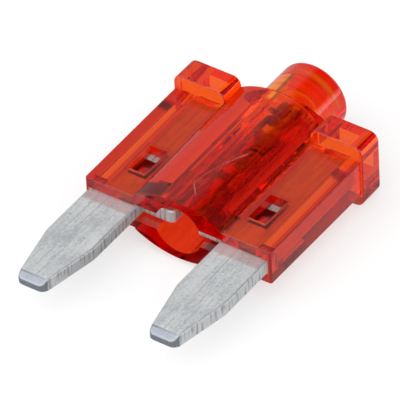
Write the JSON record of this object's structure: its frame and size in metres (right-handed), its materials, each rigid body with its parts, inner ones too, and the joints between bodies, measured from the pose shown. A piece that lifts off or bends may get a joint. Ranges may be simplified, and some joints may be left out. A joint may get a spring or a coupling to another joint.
{
  "type": "mini blade fuse with lamp",
  "caption": "Clear red plug-in fuse for vehicle wiring, with flat contact blades, a fusible link and a lamp in a round nose that lights when the link has melted.",
  "frame": {"origin": "middle of the housing's blade-end face, on the mid-plane of the fuse", "axes": "+X across the two blades, +Y from the blades to the lamp nose, +Z through the thickness"},
  "size_m": [0.0112, 0.0192, 0.0042],
  "materials": {
    "clear_red_plastic": "glossy, clear",
    "zinc": "matt, rolled",
    "clear_resin": "clear",
    "tinned_steel": "satin",
    "chip": "semi-gloss",
    "gold_wire": "polished",
    "resistor_coat": "satin",
    "solder": "semi-bright"
  },
  "bodies": {
    "root": {"housing": "clear_red_plastic", "fuse_strip": "zinc", "lamp_lens": "clear_resin", "lamp_cup_lead": "tinned_steel", "lamp_post_lead": "tinned_steel", "lamp_chip": "chip", "lamp_bond_wire": "gold_wire", "resistor_body": "resistor_coat", "resistor_front_lead": "tinned_steel", "resistor_rear_lead": "tinned_steel", "link_solder_left": "solder", "link_solder_right": "solder", "lead_solder": "solder"}
  },
  "joints": []
}
